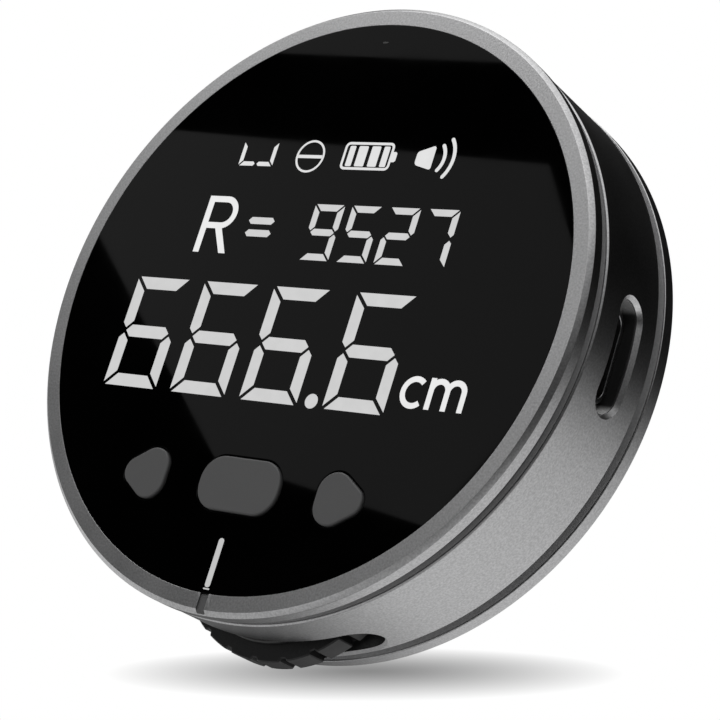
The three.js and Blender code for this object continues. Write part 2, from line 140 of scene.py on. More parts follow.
# Buttons.
BUTTON_Z = -18.65
BUTTON_GAP = 0.15
BUTTON_FILLET = 0.15
BUTTON_FLANGE = {"front": 1.3, "back": 2.0, "grow": 0.6}
BUTTON_STEM_GROW = -1.1
MIDDLE_BUTTON = {"width": 9.5, "height": 5.25, "corner": 2.4}
SIDE_BUTTON = {"x": 11.0, "rise": 0.63, "shoulder": 1.9, "reach": 1.9, "tip": 1.4}

# Front and back of the film that holds the display's lit figures, a hair above the glass.
FILM = (-0.02, 0.0)

CASE_STEPS = 384
WHEEL_STEPS = 192
SMALL_STEPS = 64

# --- Outlines -------------------------------------------------


def polar(radius, angle):
    return radius * math.cos(angle), radius * math.sin(angle)


def polar_ring(radius, count, start=0.0):
    """Evenly spaced points on a circle."""
    return [polar(radius, start + 2 * math.pi * i / count) for i in range(count)]


def arc(centre, radius, start, end, steps):
    """Points along an arc, both ends included. radius is one number, or one for each axis."""
    across, up = radius if isinstance(radius, tuple) else (radius, radius)
    turns = [start + (end - start) * i / steps for i in range(steps + 1)]
    return [(centre[0] + across * math.cos(a), centre[1] + up * math.sin(a)) for a in turns]


def whole_circle(centre, radius, steps):
    """A closed outline round a circle or an ellipse."""
    return arc(centre, radius, 0, 2 * math.pi * (steps - 1) / steps, steps - 1)


def rounded(corners, steps=5):
    """A closed outline of (a, b, fillet) corners, with an arc at each corner whose fillet isn't 0."""
    outline = []
    for i, (a, b, fillet) in enumerate(corners):
        here = Vector((a, b))
        if fillet == 0:
            outline.append((a, b))
            continue
        before = (Vector(corners[i - 1][:2]) - here).normalized()
        after = (Vector(corners[(i + 1) % len(corners)][:2]) - here).normalized()
        half = before.angle(after) / 2
        centre = here + (before + after).normalized() * fillet / math.sin(half)
        first = here + before * fillet / math.tan(half) - centre
        last = here + after * fillet / math.tan(half) - centre
        turn = math.atan2(first.x * last.y - first.y * last.x, first.dot(last))
        start = math.atan2(first.y, first.x)
        outline += arc(centre, fillet, start, start + turn, steps)
    return outline


def band_round(circles, grow=0.0, steps=14):
    """The outline of a taut band round circles given anticlockwise as (x, z, radius)."""
    leave = []
    for (ax, az, ar), (bx, bz, br) in zip(circles, circles[1:] + circles[:1]):
        towards = math.atan2(bz - az, bx - ax)
        leave.append(towards - math.acos((ar - br) / math.hypot(bx - ax, bz - az)))
    outline = []
    for i, (x, z, radius) in enumerate(circles):
        sweep = (leave[i] - leave[i - 1]) % (2 * math.pi)
        outline += arc((x, z), radius + grow, leave[i - 1], leave[i - 1] + sweep, steps)
    return outline


def box_circles(half_width, half_height, corner, x=0.0, z=0.0):
    """The corner circles of a rounded rectangle about (x, z)."""
    a = half_width - corner
    b = half_height - corner
    return [(x + a, z + b, corner), (x - a, z + b, corner), (x - a, z - b, corner), (x + a, z - b, corner)]


def slot_outline(slot, grow=0.0, bends=16, straights=24):
    """A slot with round ends. Points along its straight sides let it follow a round wall."""
    reach = slot["half_length"] - slot["half_width"]
    radius = slot["half_width"] + grow
    outline = []
    round_end = arc((reach, 0), radius, -math.pi / 2, math.pi / 2, bends)
    for side in (1, -1):
        outline += [(side * s, side * t) for s, t in round_end]
        outline += [(side * reach * (1 - 2 * i / straights), side * radius) for i in range(1, straights)]
    return outline


# --- Meshes ---------------------------------------------------


def loft(rings, round_trip=False):
    """The skin over rings of equal point counts. It closes on itself, or ends in a cap at each end."""
    count = len(rings[0])
    vertices = [point for ring in rings for point in ring]
    faces = []
    for i in range(len(rings) if round_trip else len(rings) - 1):
        a = i * count
        b = (i + 1) % len(rings) * count
        faces += [(a + j, a + (j + 1) % count, b + (j + 1) % count, b + j) for j in range(count)]
    if not round_trip:
        last = (len(rings) - 1) * count
        faces.append(tuple(range(count)))
        faces.append(tuple(range(last, last + count)))
    return vertices, faces


def turned(outline, steps=CASE_STEPS, x=0.0, z=0.0):
    """The skin of an outline of (radius, y) turned round Y: a solid if it starts on the axis, or a ring."""
    solid = outline[0][0] == 0
    angles = [2 * math.pi * i / steps for i in range(steps)]
    rows = outline[1:-1] if solid else outline
    rings = [[(x + r * math.cos(a), y, z + r * math.sin(a)) for a in angles] for r, y in rows]
    return loft(rings, round_trip=not solid)


def face_on(outline, y):
    """An outline drawn as seen from the front, as a ring at depth y."""
    return [(x, y, z) for x, z in outline]


def new_piece(name, skin):
    """A mesh object from a skin in the case's frame, with its faces turned outwards."""
    vertices, faces = skin
    mesh = bpy.data.meshes.new(name)
    mesh.from_pydata([(Vector(v) + CASE_ORIGIN) * MM for v in vertices], [], faces)
    editor = bmesh.new()
    editor.from_mesh(mesh)
    bmesh.ops.recalc_face_normals(editor, faces=editor.faces)
    editor.to_mesh(mesh)
    editor.free()
    piece = bpy.data.objects.new(name, mesh)
    bpy.context.scene.collection.objects.link(piece)
    return piece


def carve(piece, *skins):
    """Cuts solid skins out of a piece."""
    tools = [new_piece("tool", skin) for skin in skins]
    for tool in tools:
        cutter = piece.modifiers.new("cut", "BOOLEAN")
        cutter.operation = "DIFFERENCE"
        cutter.solver = "EXACT"
        cutter.object = tool
    graph = bpy.context.evaluated_depsgraph_get()
    carved = bpy.data.meshes.new_from_object(piece.evaluated_get(graph))
    piece.modifiers.clear()
    piece.data = carved
    for tool in tools:
        bpy.data.objects.remove(tool)


def second_finish(piece, finish, chosen):
    """Gives another finish to the faces that chosen(centre, normal) picks, in the case's frame."""
    piece.data.materials.append(FINISHES[finish])
    for face in piece.data.polygons:
        if chosen(face.center / MM - CASE_ORIGIN, face.normal):
            face.material_index = 1


def on_land(centre, normal):
    """Whether a face is on one of the narrow rings between the case's parts, which face forwards."""
    lands = body_low.y, COVER_RIM[0]
    return normal.y < -0.99 and min(abs(centre.y - y) for y in lands) < 0.01


def on_wheel_lip(centre, normal):
    """Whether a face is on the bevel round the wheel's opening."""
    outwards = Vector((centre.x, 0, centre.z)).normalized()
    beside = abs(centre.y - WHEEL_SLOT_Y) < WHEEL_SLOT["half_width"] + WHEEL_SLOT["flare"] - 0.05
    return centre.z < -BODY_BORE / 2 and beside and 0.3 < normal.dot(outwards) < 0.9


def finish_piece(piece, body, slot, *replaced, finish=None, sharp=28):
    """Shades a piece, sets what it rides on and hides the CAD parts that it stands for. Its finish is its slot's,
    or another.
    """
    piece.data.materials.clear()
    piece.data.materials.append(FINISHES[finish or slot])
    piece.data.shade_smooth()
    piece.data.set_sharp_from_angle(angle=math.radians(sharp))
    flats = piece.modifiers.new("flat faces stay flat", "WEIGHTED_NORMAL")
    flats.keep_sharp = True
    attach(piece, body)
    if replaced:
        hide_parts(*replaced)


# --- Materials ------------------------------------------------


def add_node(tree, kind, inputs=(), **settings):
    """Adds a node. inputs holds values, or other nodes' outputs, by socket name or number."""
    made = tree.nodes.new("ShaderNode" + kind)
    for key, value in settings.items():
        setattr(made, key, value)
    for socket, value in dict(inputs).items():
        if isinstance(value, bpy.types.NodeSocket):
            tree.links.new(value, made.inputs[socket])
        else:
            made.inputs[socket].default_value = value
    return made


def feed(node, **sockets):
    """Links other nodes' outputs to a node's inputs. An underscore stands for a space."""
    for key, output in sockets.items():
        node.id_data.links.new(output, node.inputs[key.replace("_", " ")])


def shader(name, **sockets):
    """A new material with a Principled shader, and the tree, shader and object coordinates to build on."""
    material = bpy.data.materials.new(name)
    material.use_nodes = True
    tree = material.node_tree
    principled = tree.nodes["Principled BSDF"]
    for key, value in sockets.items():
        principled.inputs[key.replace("_", " ")].default_value = value
    place = add_node(tree, "TexCoord").outputs["Object"]
    return material, tree, principled, place


def noise(tree, place, size, detail=2.0):
    """Noise with features about size millimetres across, as a value round 0.5."""
    inputs = {"Vector": place, "Scale": 1 / (size * MM), "Detail": detail}
    return add_node(tree, "TexNoise", inputs).outputs["Fac"]


def ranged(tree, value, start, end, low=0.0, high=1.0, easing="SMOOTHSTEP"):
    """A value that goes from low to high while another goes from start to end."""
    limits = {"Value": value, "From Min": start, "From Max": end, "To Min": low, "To Max": high}
    return add_node(tree, "MapRange", limits, interpolation_type=easing).outputs["Result"]


def combine(tree, operation, a, b):
    """The sum, product or another combination of two values."""
    return add_node(tree, "Math", {0: a, 1: b}, operation=operation).outputs["Value"]


def spread(tree, value, low, high):
    """Noise stretched so that it runs from low to high."""
    return ranged(tree, value, 0.3, 0.7, low, high, easing="LINEAR")


def mottle(tree, value, dark, light):
    """A colour between two, chosen by noise."""
    ramp = add_node(tree, "ValToRGB", {"Fac": value})
    for stop, position, colour in zip(ramp.color_ramp.elements, (0.32, 0.68), (dark, light)):
        stop.position = position
        stop.color = (*colour, 1)
    return ramp.outputs["Color"]


def grey(level):
    return level, level, level * 1.01


def bumps(tree, height, depth):
    """The normals of bumps of the given depth in millimetres."""
    return add_node(tree, "Bump", {"Height": height, "Distance": depth * MM}).outputs["Normal"]


def surface(name, colour, grain, depth, roughness, variation=0.12, cloud=4.0, **sockets):
    """A moulded or metal surface: fine bumps, slight mottling and roughness that drifts across it."""
    material, tree, principled, place = shader(name, **sockets)
    fine = noise(tree, place, grain)
    dark, light = ([c * (1 + change) for c in colour] for change in (-variation, variation))
    drift = noise(tree, place, cloud, detail=3.0)
    feed(
        principled,
        Base_Color=mottle(tree, fine, dark, light),
        Roughness=spread(tree, drift, roughness * 0.93, roughness * 1.07),
        Normal=bumps(tree, fine, depth),
    )
    return material


def blasted_metal():
    """Grey aluminium, blasted with fine beads and anodised."""
    return surface(
        "blasted_metal", grey(0.42), grain=0.2, depth=0.006, roughness=0.295, variation=0.16, cloud=9.0,
        Metallic=1.0,
    )


def satin_metal():
    """The case's lands and the wheel opening's lip, left duller and more even than the blasted faces."""
    return surface(
        "satin_metal", grey(0.4), grain=0.2, depth=0.003, roughness=0.5, variation=0.1, Metallic=0.1,
    )


def black_glass():
    """Cover glass printed black from behind, with an anti-reflection coat and the faintest ripple."""
    material, tree, principled, place = shader("black_glass", Specular_IOR_Level=0.122, IOR=1.5)
    feed(
        principled,
        Base_Color=mottle(tree, noise(tree, place, 12.0), (0.0004,) * 3, (0.0008,) * 3),
        Roughness=spread(tree, noise(tree, place, 5.0), 0.02, 0.035),
    )
    return material


def lit_figures(name, glow):
    """The display's figures: white light with the slight unevenness of a lit panel."""
    material, tree, principled, place = shader(name, Roughness=0.5, Emission_Strength=1.0)
    principled.inputs["Base Color"].default_value = (0.02, 0.02, 0.02, 1)
    uneven = noise(tree, place, 1.2)
    feed(principled, Emission_Color=mottle(tree, uneven, (glow * 0.97,) * 3, (glow * 1.02,) * 3))
    return material


def button_plastic():
    return surface("button_plastic", grey(0.071), grain=0.09, depth=0.002, roughness=0.6, variation=0.05)


def tyre_rubber():
    return surface(
        "tyre_rubber", grey(0.014), grain=0.12, depth=0.004, roughness=0.5, variation=0.3, cloud=2.0,
        Specular_IOR_Level=0.3,
    )


def black_plastic():
    return surface(
        "black_plastic", grey(0.012), grain=0.15, depth=0.004, roughness=0.42, variation=0.2,
    )


def sleeve_plastic():
    """The port's sleeve: black along its sides, with a painted reflection in grey at its two round ends."""
    material, tree, principled, place = shader("sleeve_plastic", Roughness=0.5)
    height = add_node(tree, "SeparateXYZ", {"Vector": place}).outputs["Z"]
    middle = (port_low.z + port_high.z) / 2 + CASE_ORIGIN.z
    tone = 0.012
    # Painted reflection: each round end turns grey, fading in from the black sides; the lower end is lightest.
    for black, sheen_full, level in ((4.45, 5.05, 0.28), (-4.0, -4.9, 0.85)):
        end = ranged(tree, height, (middle + black) * MM, (middle + sheen_full) * MM, high=level)
        tone = combine(tree, "MAXIMUM", tone, end)
    fine = spread(tree, noise(tree, place, 0.15), 0.8, 1.2)
    feed(principled, Base_Color=combine(tree, "MULTIPLY", tone, fine))
    return material


def turned_steel(name="turned_steel", tone=0.48):
    """Nickel-plated steel, faintly uneven."""
    material, tree, principled, place = shader(name, Metallic=1.0)
    fine = noise(tree, place, 0.06)
    feed(
        principled,
        Base_Color=mottle(tree, fine, grey(tone * 0.92), grey(tone * 1.08)),
        Roughness=spread(tree, noise(tree, place, 0.8), 0.22, 0.34),
        Normal=bumps(tree, fine, 0.001),
    )
    return material


def board_laminate():
    """Green solder mask with copper tracks faintly raised under it."""
    material, tree, principled, place = shader("board_laminate", Roughness=0.35)
    tracks = add_node(
        tree, "TexBrick", {"Vector": place, "Scale": 260.0, "Mortar Size": 0.03, "Bias": -0.2}
    ).outputs["Fac"]
    mask = mottle(tree, tracks, (0.02, 0.12, 0.05), (0.04, 0.19, 0.08))
    feed(principled, Base_Color=mask, Normal=bumps(tree, tracks, 0.03))
    return material


# The finish of each material slot in the record, and then of a few single details.
FINISHES = {
    "case_metal": blasted_metal(),
    "front_glass": black_glass(),
    "display_light": lit_figures("lit_figures", 0.585),
    "button_plastic": button_plastic(),
    "tyre_rubber": tyre_rubber(),
    "inner_plastic": black_plastic(),
    "board_laminate": board_laminate(),
    "steel": turned_steel(),
    "bronze": surface("bronze", (0.55, 0.38, 0.18), 0.1, 0.004, 0.4, Metallic=1.0),
    "cell_foil": surface("cell_foil", (0.4, 0.42, 0.45), 0.6, 0.02, 0.32, Metallic=0.6),
    "ribbon": surface("ribbon", (0.4, 0.16, 0.03), 0.3, 0.003, 0.3),
    "letter_light": lit_figures("lit_letters", 0.79),
    "icon_light": lit_figures("lit_icons", 0.71),
    # The index line is print, drawn glowing: painted light.
    "index_print_glow": lit_figures("glowing_index_print", 0.5),
    "lands": satin_metal(),
    "dark_steel": turned_steel("dark_steel", 0.26),
    "sleeve": sleeve_plastic(),
}


# --- Case -----------------------------------------------------


def bezel():
    """The front ring round the glass, with a notch under the index line."""
    back = body_low.y - 0.1
    ring = new_piece("bezel", turned(rounded([
        (BEZEL_BORE, 0, 0.02),
        (RIM_RADIUS - BEZEL_CHAMFER, 0, 0.06),
        (RIM_RADIUS, BEZEL_CHAMFER, 0.1),
        (RIM_RADIUS, BEZEL_WALL_END, 0.08),
        (GROOVE_RADIUS, BEZEL_WALL_END, 0),
        (GROOVE_RADIUS, back, 0),
        (BEZEL_LEDGE, back, 0),
        (BEZEL_LEDGE, bezel_low.y + BEZEL_LEDGE_DEPTH, 0),
        (BEZEL_BORE, bezel_low.y + BEZEL_LEDGE_DEPTH, 0),
    ])))
    half = INDEX_NOTCH["width"] / 2
    depth = INDEX_NOTCH["depth"]
    channel = rounded([(-half, -1, 0), (half, -1, 0), (half, depth, 0.12), (-half, depth, 0.12)])
    ends = (-RIM_RADIUS - 1, -GLASS_RADIUS + 0.05)
    carve(ring, loft([[(x, y, z) for x, y in channel] for z in ends]))
    finish_piece(ring, "case", "case_metal", "bezel_ring")


def on_wall(radius, along):
    """How far out a round wall is, at a distance along from the wall's middle."""
    return math.sqrt(radius**2 - along**2)


def slot_tool(slot, y, outwards, inner):
    """A tool for a slot through the round wall. outwards(along, depth, out) turns it to the slot's side."""
    flare = slot["flare"]
    spare = 2.0

    def ring(grow, reach):
        return [outwards(s, y + t, reach(s)) for s, t in slot_outline(slot, grow)]

    return loft([
        ring(0, lambda s: inner),
        ring(0, lambda s: on_wall(BODY_RADIUS - flare, s)),
        ring(flare, lambda s: on_wall(BODY_RADIUS, s)),
        ring(flare + spare, lambda s: BODY_RADIUS + spare),
    ])


def to_the_right(along, y, out):
    return out, y, along


def to_the_bottom(along, y, out):
    return along, y, -out


def fine_line(radius, y):
    """The corners of a hairline groove turned into a face at depth y."""
    inner = radius - HAIRLINE["width"]
    floor = y + HAIRLINE["depth"]
    return [(inner, y, 0), (inner, floor, 0), (radius, floor, 0), (radius, y, 0)]


def body():
    """The wall of the case, with flared openings for the port and the wheel."""
    front = body_low.y
    back = body_high.y
    ring = new_piece("body", turned(rounded([
        (BODY_BORE, front, 0),
        *fine_line(BODY_RADIUS - BODY_CHAMFER - 0.05, front),
        (BODY_RADIUS - BODY_CHAMFER, front, 0.04),
        (BODY_RADIUS, front + BODY_CHAMFER, 0.04),
        (BODY_RADIUS, back - BODY_CHAMFER, 0.04),
        (BODY_RADIUS - BODY_CHAMFER, back, 0.04),
        (BODY_BORE, back, 0),
    ])))
    carve(
        ring,
        slot_tool(PORT_SLOT, PORT_Y, to_the_right, port_low.x + 3),
        slot_tool(WHEEL_SLOT, WHEEL_SLOT_Y, to_the_bottom, -WHEEL_CENTRE.z - 4),
    )
    finish_piece(ring, "case", "case_metal", "body_ring")
    second_finish(ring, "lands", lambda *face: on_land(*face) or on_wheel_lip(*face))


def screw_places():
    return polar_ring(SCREW_ORBIT, 4, start=math.radians(45))


def drill_mouth(radius, start, ease):
    """The outline of a drill from depth start out through the back, with the hole's edge eased."""
    clear = 1.0
    return [
        (radius, start),
        (radius, CASE_BACK - ease),
        (radius + ease + clear, CASE_BACK + clear),
        (0, CASE_BACK + clear),
    ]


def back_cover():
    """The back: a rim like the front's, counterbored screw holes and a rose of sound holes."""
    neck = BEZEL_LEDGE + 1
    edge = CASE_BACK - COVER_RIM[1]
    cover = new_piece("back_shell", turned(rounded([
        (0, COVER_INNER_FACE, 0),
        (neck, COVER_INNER_FACE, 0),
        (neck, cover_low.y, 0),
        (GROOVE_RADIUS, cover_low.y, 0),
        (GROOVE_RADIUS, COVER_RIM[0], 0),
        *fine_line(RIM_RADIUS - 0.1, COVER_RIM[0]),
        (RIM_RADIUS, COVER_RIM[0], 0.08),
        (RIM_RADIUS, COVER_RIM[1], 0.1),
        (RIM_RADIUS - edge, CASE_BACK, 0.1),
        (0, CASE_BACK, 0),
    ])))
    floor = COUNTERBORE["floor"]
    hole = COUNTERBORE["hole"]
    screw_hole = [(0, 0), (hole, 0), (hole, floor), *drill_mouth(COUNTERBORE["radius"], floor, 0.15)]
    tools = [turned(screw_hole, SMALL_STEPS, x, z) for x, z in screw_places()]
    rose = [(0, 0), *polar_ring(SOUND_HOLES["orbit"], SOUND_HOLES["count"])]
    middle = (buzzer_low + buzzer_high) / 2
    sound_hole = [(0, 0), *drill_mouth(SOUND_HOLES["radius"], 0, 0.08)]
    tools += [turned(sound_hole, 32, middle.x + x, middle.z + z) for x, z in rose]
    carve(cover, *tools)
    finish_piece(cover, "case", "case_metal", "back_cover")
    second_finish(cover, "lands", on_land)


def cover_screw(number, x, z):
    """A pan-head screw with a cross recess."""
    head = SCREW_HEAD
    top = extent("cover_screw_1")[1].y
    shank = SCREW_SHANK["radius"]
    screw = new_piece(f"cross_screw_{number}", turned(rounded([
        (0, SCREW_SHANK["end"], 0),
        (shank, SCREW_SHANK["end"], 0.15),
        (shank, head["front"], 0),
        (head["radius"], head["front"], 0.08),
        (head["radius"], top, 0.3),
        (0, top, 0),
    ]), SMALL_STEPS, x, z))
    length, width, share = (SCREW_CROSS[key] for key in ("half_length", "half_width", "floor_share"))
    wings = []
    for corners in (corners_of(length, width), corners_of(width, length)):
        floor = [(x + a * share, top - SCREW_CROSS["depth"], z + b * share) for a, b in corners]
        mouth = [(x + a, top + 0.2, z + b) for a, b in corners]
        wings.append(loft([floor, mouth]))
    carve(screw, *wings)
    finish_piece(screw, "case", "steel", f"cover_screw_{number}")


def corners_of(a, b):
    """The corners of a rectangle with half sides a and b."""
    return [(a, b), (-a, b), (-a, -b), (a, -b)]


# --- Port -----------------------------------------------------


def port_shell():
    """The drawn steel shell of the socket."""
    lip = rounded([
        (port_low.x, 0, 0),
        (port_high.x, 0, 0.09),
        (port_high.x, -PORT_SHELL_WALL, 0.09),
        (port_low.x, -PORT_SHELL_WALL, 0),
    ])
    rings = [[(x, PORT_Y + t, s) for s, t in slot_outline(PORT_SHELL, grow)] for x, grow in lip]
    shell = new_piece("socket_shell", loft(rings, round_trip=True))
    finish_piece(shell, "case", "steel", "port_shell", finish="dark_steel")


def port_liner():
    """A moulded sleeve that lines the case's slot and closes it round the socket's shell."""
    front = BODY_RADIUS - PORT_SLOT["flare"] - 0.12
    shell = slot_outline(PORT_SHELL, PORT_LINER["hair"])
    outer = slot_outline(PORT_SLOT, -PORT_LINER["hair"])
    inner = slot_outline(PORT_SLOT, -PORT_LINER["wall"])

    def flat_ring(outline, reach):
        return [(reach, PORT_Y + t, s) for s, t in outline]

    def bent_ring(outline, reach):
        return [(on_wall(reach, s), PORT_Y + t, s) for s, t in outline]

    liner = new_piece("port_liner", loft([
        flat_ring(shell, PORT_LINER["back"]),
        flat_ring(outer, PORT_LINER["back"]),
        bent_ring(outer, front),
        bent_ring(inner, front),
        flat_ring(inner, PORT_LINER["seat"]),
        flat_ring(shell, PORT_LINER["seat"]),
    ], round_trip=True))
    finish_piece(liner, "case", "inner_plastic", finish="sleeve")


def port_tongue():
    """The socket's tongue: a thick root and a thin blade."""
    low, high = extent("port_tongue")
    middle_y = (low.y + high.y) / 2
    root_end = low.x + PORT_TONGUE["root"]
    blade = PORT_TONGUE["half_blade"]
    profile = rounded([
        (low.x, high.y, 0.1),
        (low.x, low.y, 0.1),
        (root_end, low.y, 0.1),
        (root_end, middle_y - blade, 0.15),
        (high.x, middle_y - blade, 0.12),
        (high.x, middle_y + blade, 0.12),
        (root_end, middle_y + blade, 0.15),
        (root_end, high.y, 0.1),
    ])
    half = (high.z - low.z) / 2
    rings = [[(x, y, z) for x, y in profile] for z in (-half, half)]
    tongue = new_piece("socket_tongue", loft(rings))
    finish_piece(tongue, "case", "inner_plastic", "port_tongue")


def port_contacts():
    """Two rows of plated contacts on the tongue."""
    low, high = extent("port_tongue")
    middle_y = (low.y + high.y) / 2
    size = PORT_CONTACTS
    half = size["half_width"]
    tip = PORT_CONTACT_ENDS["half_width"]
    start = low.x + PORT_CONTACT_ENDS["start"]
    taper = high.x - PORT_CONTACT_ENDS["taper"]
    end = high.x - PORT_CONTACT_ENDS["end"]
    outline = [(start, -half), (taper, -half), (end, -tip), (end, tip), (taper, half), (start, half)]
    vertices = []
    faces = []
    for row in (-1, 1):
        for i in range(size["count"]):
            z = (i - (size["count"] - 1) / 2) * size["pitch"]
            levels = [middle_y + row * rise for rise in (size["sunk"], size["proud"])]
            pad_vertices, pad_faces = loft([[(x, y, z + dz) for x, dz in outline] for y in levels])
            faces += [tuple(index + len(vertices) for index in face) for face in pad_faces]
            vertices += pad_vertices
    contacts = new_piece("socket_contacts", (vertices, faces))
    finish_piece(contacts, "case", "bronze")


# --- Glass and buttons ----------------------------------------


def side_circles(side):
    x = side * SIDE_BUTTON["x"]
    tip = x + side * SIDE_BUTTON["reach"]
    return [
        (x, BUTTON_Z + side * SIDE_BUTTON["rise"], SIDE_BUTTON["shoulder"]),
        (x, BUTTON_Z - side * SIDE_BUTTON["rise"], SIDE_BUTTON["shoulder"]),
        (tip, BUTTON_Z, SIDE_BUTTON["tip"]),
    ]


def middle_circles():
    size = MIDDLE_BUTTON
    return box_circles(size["width"] / 2, size["height"] / 2, size["corner"], 0.0, BUTTON_Z)


BUTTONS = {"left": side_circles(-1), "middle": middle_circles(), "right": side_circles(1)}


def front_glass():
    """The cover glass, polished round its edge and round the buttons' holes."""
    glass = new_piece("cover_glass", turned(rounded([
        (0, 0, 0),
        (BEZEL_BORE - 0.03, 0, 0.03),
        (BEZEL_BORE - 0.03, GLASS_THICKNESS, 0.1),
        (0, GLASS_THICKNESS, 0),
    ])))
    ease = 0.08
    levels = ((BUTTON_GAP + ease + 1, -1), (BUTTON_GAP, ease), (BUTTON_GAP, GLASS_THICKNESS + 1))
    carve(glass, *(
        loft([face_on(band_round(circles, grow), y) for grow, y in levels]) for circles in BUTTONS.values()
    ))
    finish_piece(glass, "case", "front_glass", "front_glass")


def button(side, circles):
    """A push button: a flat face with a soft edge, and under the glass the flange and stem that hold it."""
    low, high = extent(f"button_{side}")
    steps = 6
    levels = [(-BUTTON_FILLET - 0.02, low.y)]
    for i in range(steps + 1):
        turn = math.pi / 2 * i / steps
        levels.append((-BUTTON_FILLET * (1 - math.sin(turn)), low.y + BUTTON_FILLET * (1 - math.cos(turn))))
    front, back, grow = (BUTTON_FLANGE[key] for key in ("front", "back", "grow"))
    levels += [(0, front), (grow, front), (grow, back), (BUTTON_STEM_GROW, back), (BUTTON_STEM_GROW, high.y)]
    rings = [face_on(band_round(circles, grow), y) for grow, y in levels]
    cap = new_piece(f"push_button_{side}", loft(rings))
    finish_piece(cap, f"{side}_button", "button_plastic", f"button_{side}")


# --- Display --------------------------------------------------


def anticlockwise(outline):
    area = sum(a[0] * b[1] - b[0] * a[1] for a, b in pairwise([*outline, outline[0]]))
    return outline if area > 0 else outline[::-1]


def film(name, shapes, finish="display_light", slot="display_light"):
    """One thin sheet of all the shapes, which are outlines of (x, z) and may overlap."""
    points = []
    outlines = []
    for shape in shapes:
        outlines.append(list(range(len(points), len(points) + len(shape))))
        points += [Vector(p) for p in anticlockwise(shape)]
    flat, _, everywhere, _, _, covered_by = delaunay_2d_cdt(points, [], outlines, 0, 1e-4)
    triangles = [t for t, shapes_here in zip(everywhere, covered_by) if shapes_here]
    count = len(flat)
    vertices = [(p.x, y, p.y) for y in FILM for p in flat]
    faces = [tuple(t) for t in triangles] + [tuple(i + count for i in t) for t in triangles]
    uses = {}
    for t in triangles:
        for a, b in pairwise([*t, t[0]]):
            uses[frozenset((a, b))] = uses.get(frozenset((a, b)), 0) + 1
    for a, b in (tuple(edge) for edge, times in uses.items() if times == 1):
        faces.append((a, b, b + count, a + count))
    finish_piece(new_piece(name, (vertices, faces)), "case", slot, finish=finish)


def stroke(path, width, closed=False):
    """The quads of a pen line of the given width along a path."""
    points = [Vector(p) for p in path]
    if closed:
        points.append(points[0])
    sides = []
    for i, here in enumerate(points):
        before = points[i - 1] if i > 0 else (points[-2] if closed else here)
        after = points[i + 1] if i < len(points) - 1 else (points[1] if closed else here)
        leaving = (after - here).normalized() if after != here else (here - before).normalized()
        coming = (here - before).normalized() if before != here else leaving
        along = (leaving + coming).normalized()
        across = Vector((-along.y, along.x)) * width / 2 / max(0.5, along.dot(leaving))
        sides.append((here + across, here - across))
    return [(a, b, d, c) for (a, b), (c, d) in pairwise(sides)]


def segment_shapes(lit, x, z, width, height, thick, gap):
    """The lit bars of a seven-segment figure whose lower left corner is at (x, z).

    Bars are named t, m and b for top, middle and bottom, and ul, ur, ll and lr for the uprights.
    """
    half_width = width / 2
    half = height / 2
    tip = gap * 1.1
    neck = thick * 0.4
    flat = [
        (-half_width + gap, half), (-half_width + gap + thick, half - thick),
        (half_width - gap - thick, half - thick), (half_width - gap, half),
    ]
    middle_end = half_width - neck - gap * 0.6
    shoulder = middle_end - thick / 2
    middle = [
        (-middle_end, 0), (-shoulder, thick / 2), (shoulder, thick / 2),
        (middle_end, 0), (shoulder, -thick / 2), (-shoulder, -thick / 2),
    ]
    upright = [
        (-half_width, half - gap), (-half_width, tip + neck), (-half_width + neck, tip),
        (-half_width + thick, tip + thick - neck), (-half_width + thick, half - gap - thick),
    ]
    bars = {"m": middle, "t": flat, "b": [(a, -b) for a, b in flat]}
    for letter, up in (("u", 1), ("l", -1)):
        for side, right in (("l", 1), ("r", -1)):
            bars[letter + side] = [(right * a, up * b) for a, b in upright]
    return [[(x + half_width + a, z + half + b) for a, b in bars[bar]] for bar in lit.split()]


FIGURES = {
    "2": "t ur m ll b",
    "5": "t ul m lr b",
    "6": "t ul m ll lr b",
    "7": "t ur lr",
    "9": "t ul ur m lr b",
}


def figure_row(text, starts, z, width, height, thick, gap):
    shapes = []
    for character, x in zip(text, starts):
        shapes += segment_shapes(FIGURES[character], x, z, width, height, thick, gap)
    return shapes


def large_figures():
    """The measured length, four figures with a decimal point."""
    first = -21.05
    pitch = 8.82
    starts = [first, first + pitch, first + 2 * pitch, 6.6]
    shapes = figure_row("6666", starts, -10.4, width=6.95, height=11.52, thick=1.26, gap=0.27)
    shapes.append(whole_circle((5.18, -9.82), 0.72, 36))
    film("large_figures", shapes)


def small_figures():
    """The radius, four smaller figures after an equals sign."""
    pitch = 4.46
    starts = [-1.62 + pitch * i for i in range(4)]
    shapes = figure_row("9527", starts, 4.0, width=3.55, height=5.78, thick=0.68, gap=0.15)
    left, right, half, point = -9.3, -6.05, 0.36, 0.35
    for z in (7.77, 6.45):
        shapes.append([
            (left, z), (left + point, z + half), (right - point, z + half),
            (right, z), (right - point, z - half), (left + point, z - half),
        ])
    film("small_figures", shapes)


def letter_r(x, z, height, pen):
    """A plain capital R."""
    bowl = height * 0.233
    right = x + height * 0.395
    top = z + height - pen / 2
    low = top - 2 * bowl
    curve = arc((right, top - bowl), bowl, math.pi / 2, -math.pi / 2, 20)
    leg = [(right - pen, low), (right + pen * 0.35, low), (x + height * 0.69, z), (x + height * 0.555, z)]
    stem = [(x, z), (x + pen * 1.15, z), (x + pen * 1.15, z + height), (x, z + height)]
    return [stem, leg, *stroke([(x + pen, top), *curve, (x + pen, low)], pen)]


def letter_c(x, z, height, pen):
    radius = (height - pen) / 2
    centre = (x + radius + pen / 2, z + height / 2)
    return stroke(arc(centre, (radius * 0.95, radius), math.radians(48), math.radians(312), 24), pen)


